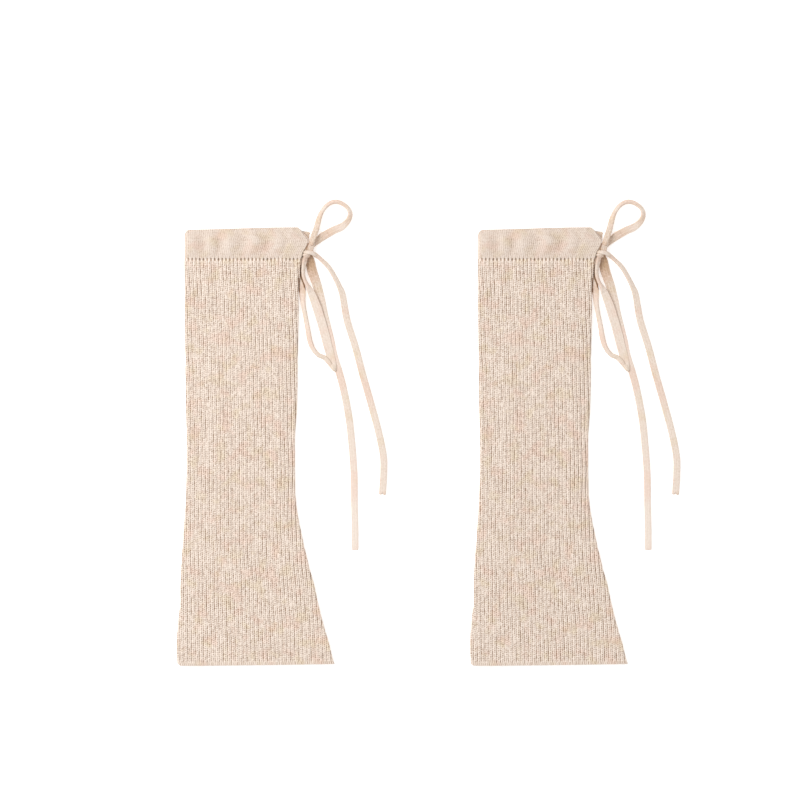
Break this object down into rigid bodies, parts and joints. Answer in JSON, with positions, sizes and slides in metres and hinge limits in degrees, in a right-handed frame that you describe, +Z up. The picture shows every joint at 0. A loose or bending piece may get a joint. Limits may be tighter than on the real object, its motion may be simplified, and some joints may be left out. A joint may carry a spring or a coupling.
{
  "type": "pair of knitted boot warmers",
  "caption": "Pair of ribbed, flared knitted leg warmers laid flat, each with a smooth casing and a drawstring tied in a bow at the top.",
  "frame": {"origin": "middle of the underside of the pair, measured over the legs and casings, on the surface they lie on", "axes": "+Z up from the surface, +Y from the hems towards the casings, +X from the left warmer to the right one"},
  "size_m": [0.4823, 0.4468, 0.0088],
  "materials": {
    "ribbed_knit": "cream cotton knit in fine vertical ribs",
    "smooth_knit": "cream fine jersey knit, smooth",
    "cord_knit": "cream flat knitted cord"
  },
  "bodies": {
    "root": {"left_leg": "ribbed_knit", "left_casing": "smooth_knit", "left_drawstring": "cord_knit", "left_knot": "cord_knit", "left_upper_loop": "cord_knit", "left_lower_loop": "cord_knit", "left_long_tail": "cord_knit", "left_short_tail": "cord_knit", "right_leg": "ribbed_knit", "right_casing": "smooth_knit", "right_drawstring": "cord_knit", "right_knot": "cord_knit", "right_upper_loop": "cord_knit", "right_lower_loop": "cord_knit", "right_long_tail": "cord_knit", "right_short_tail": "cord_knit"}
  },
  "joints": []
}
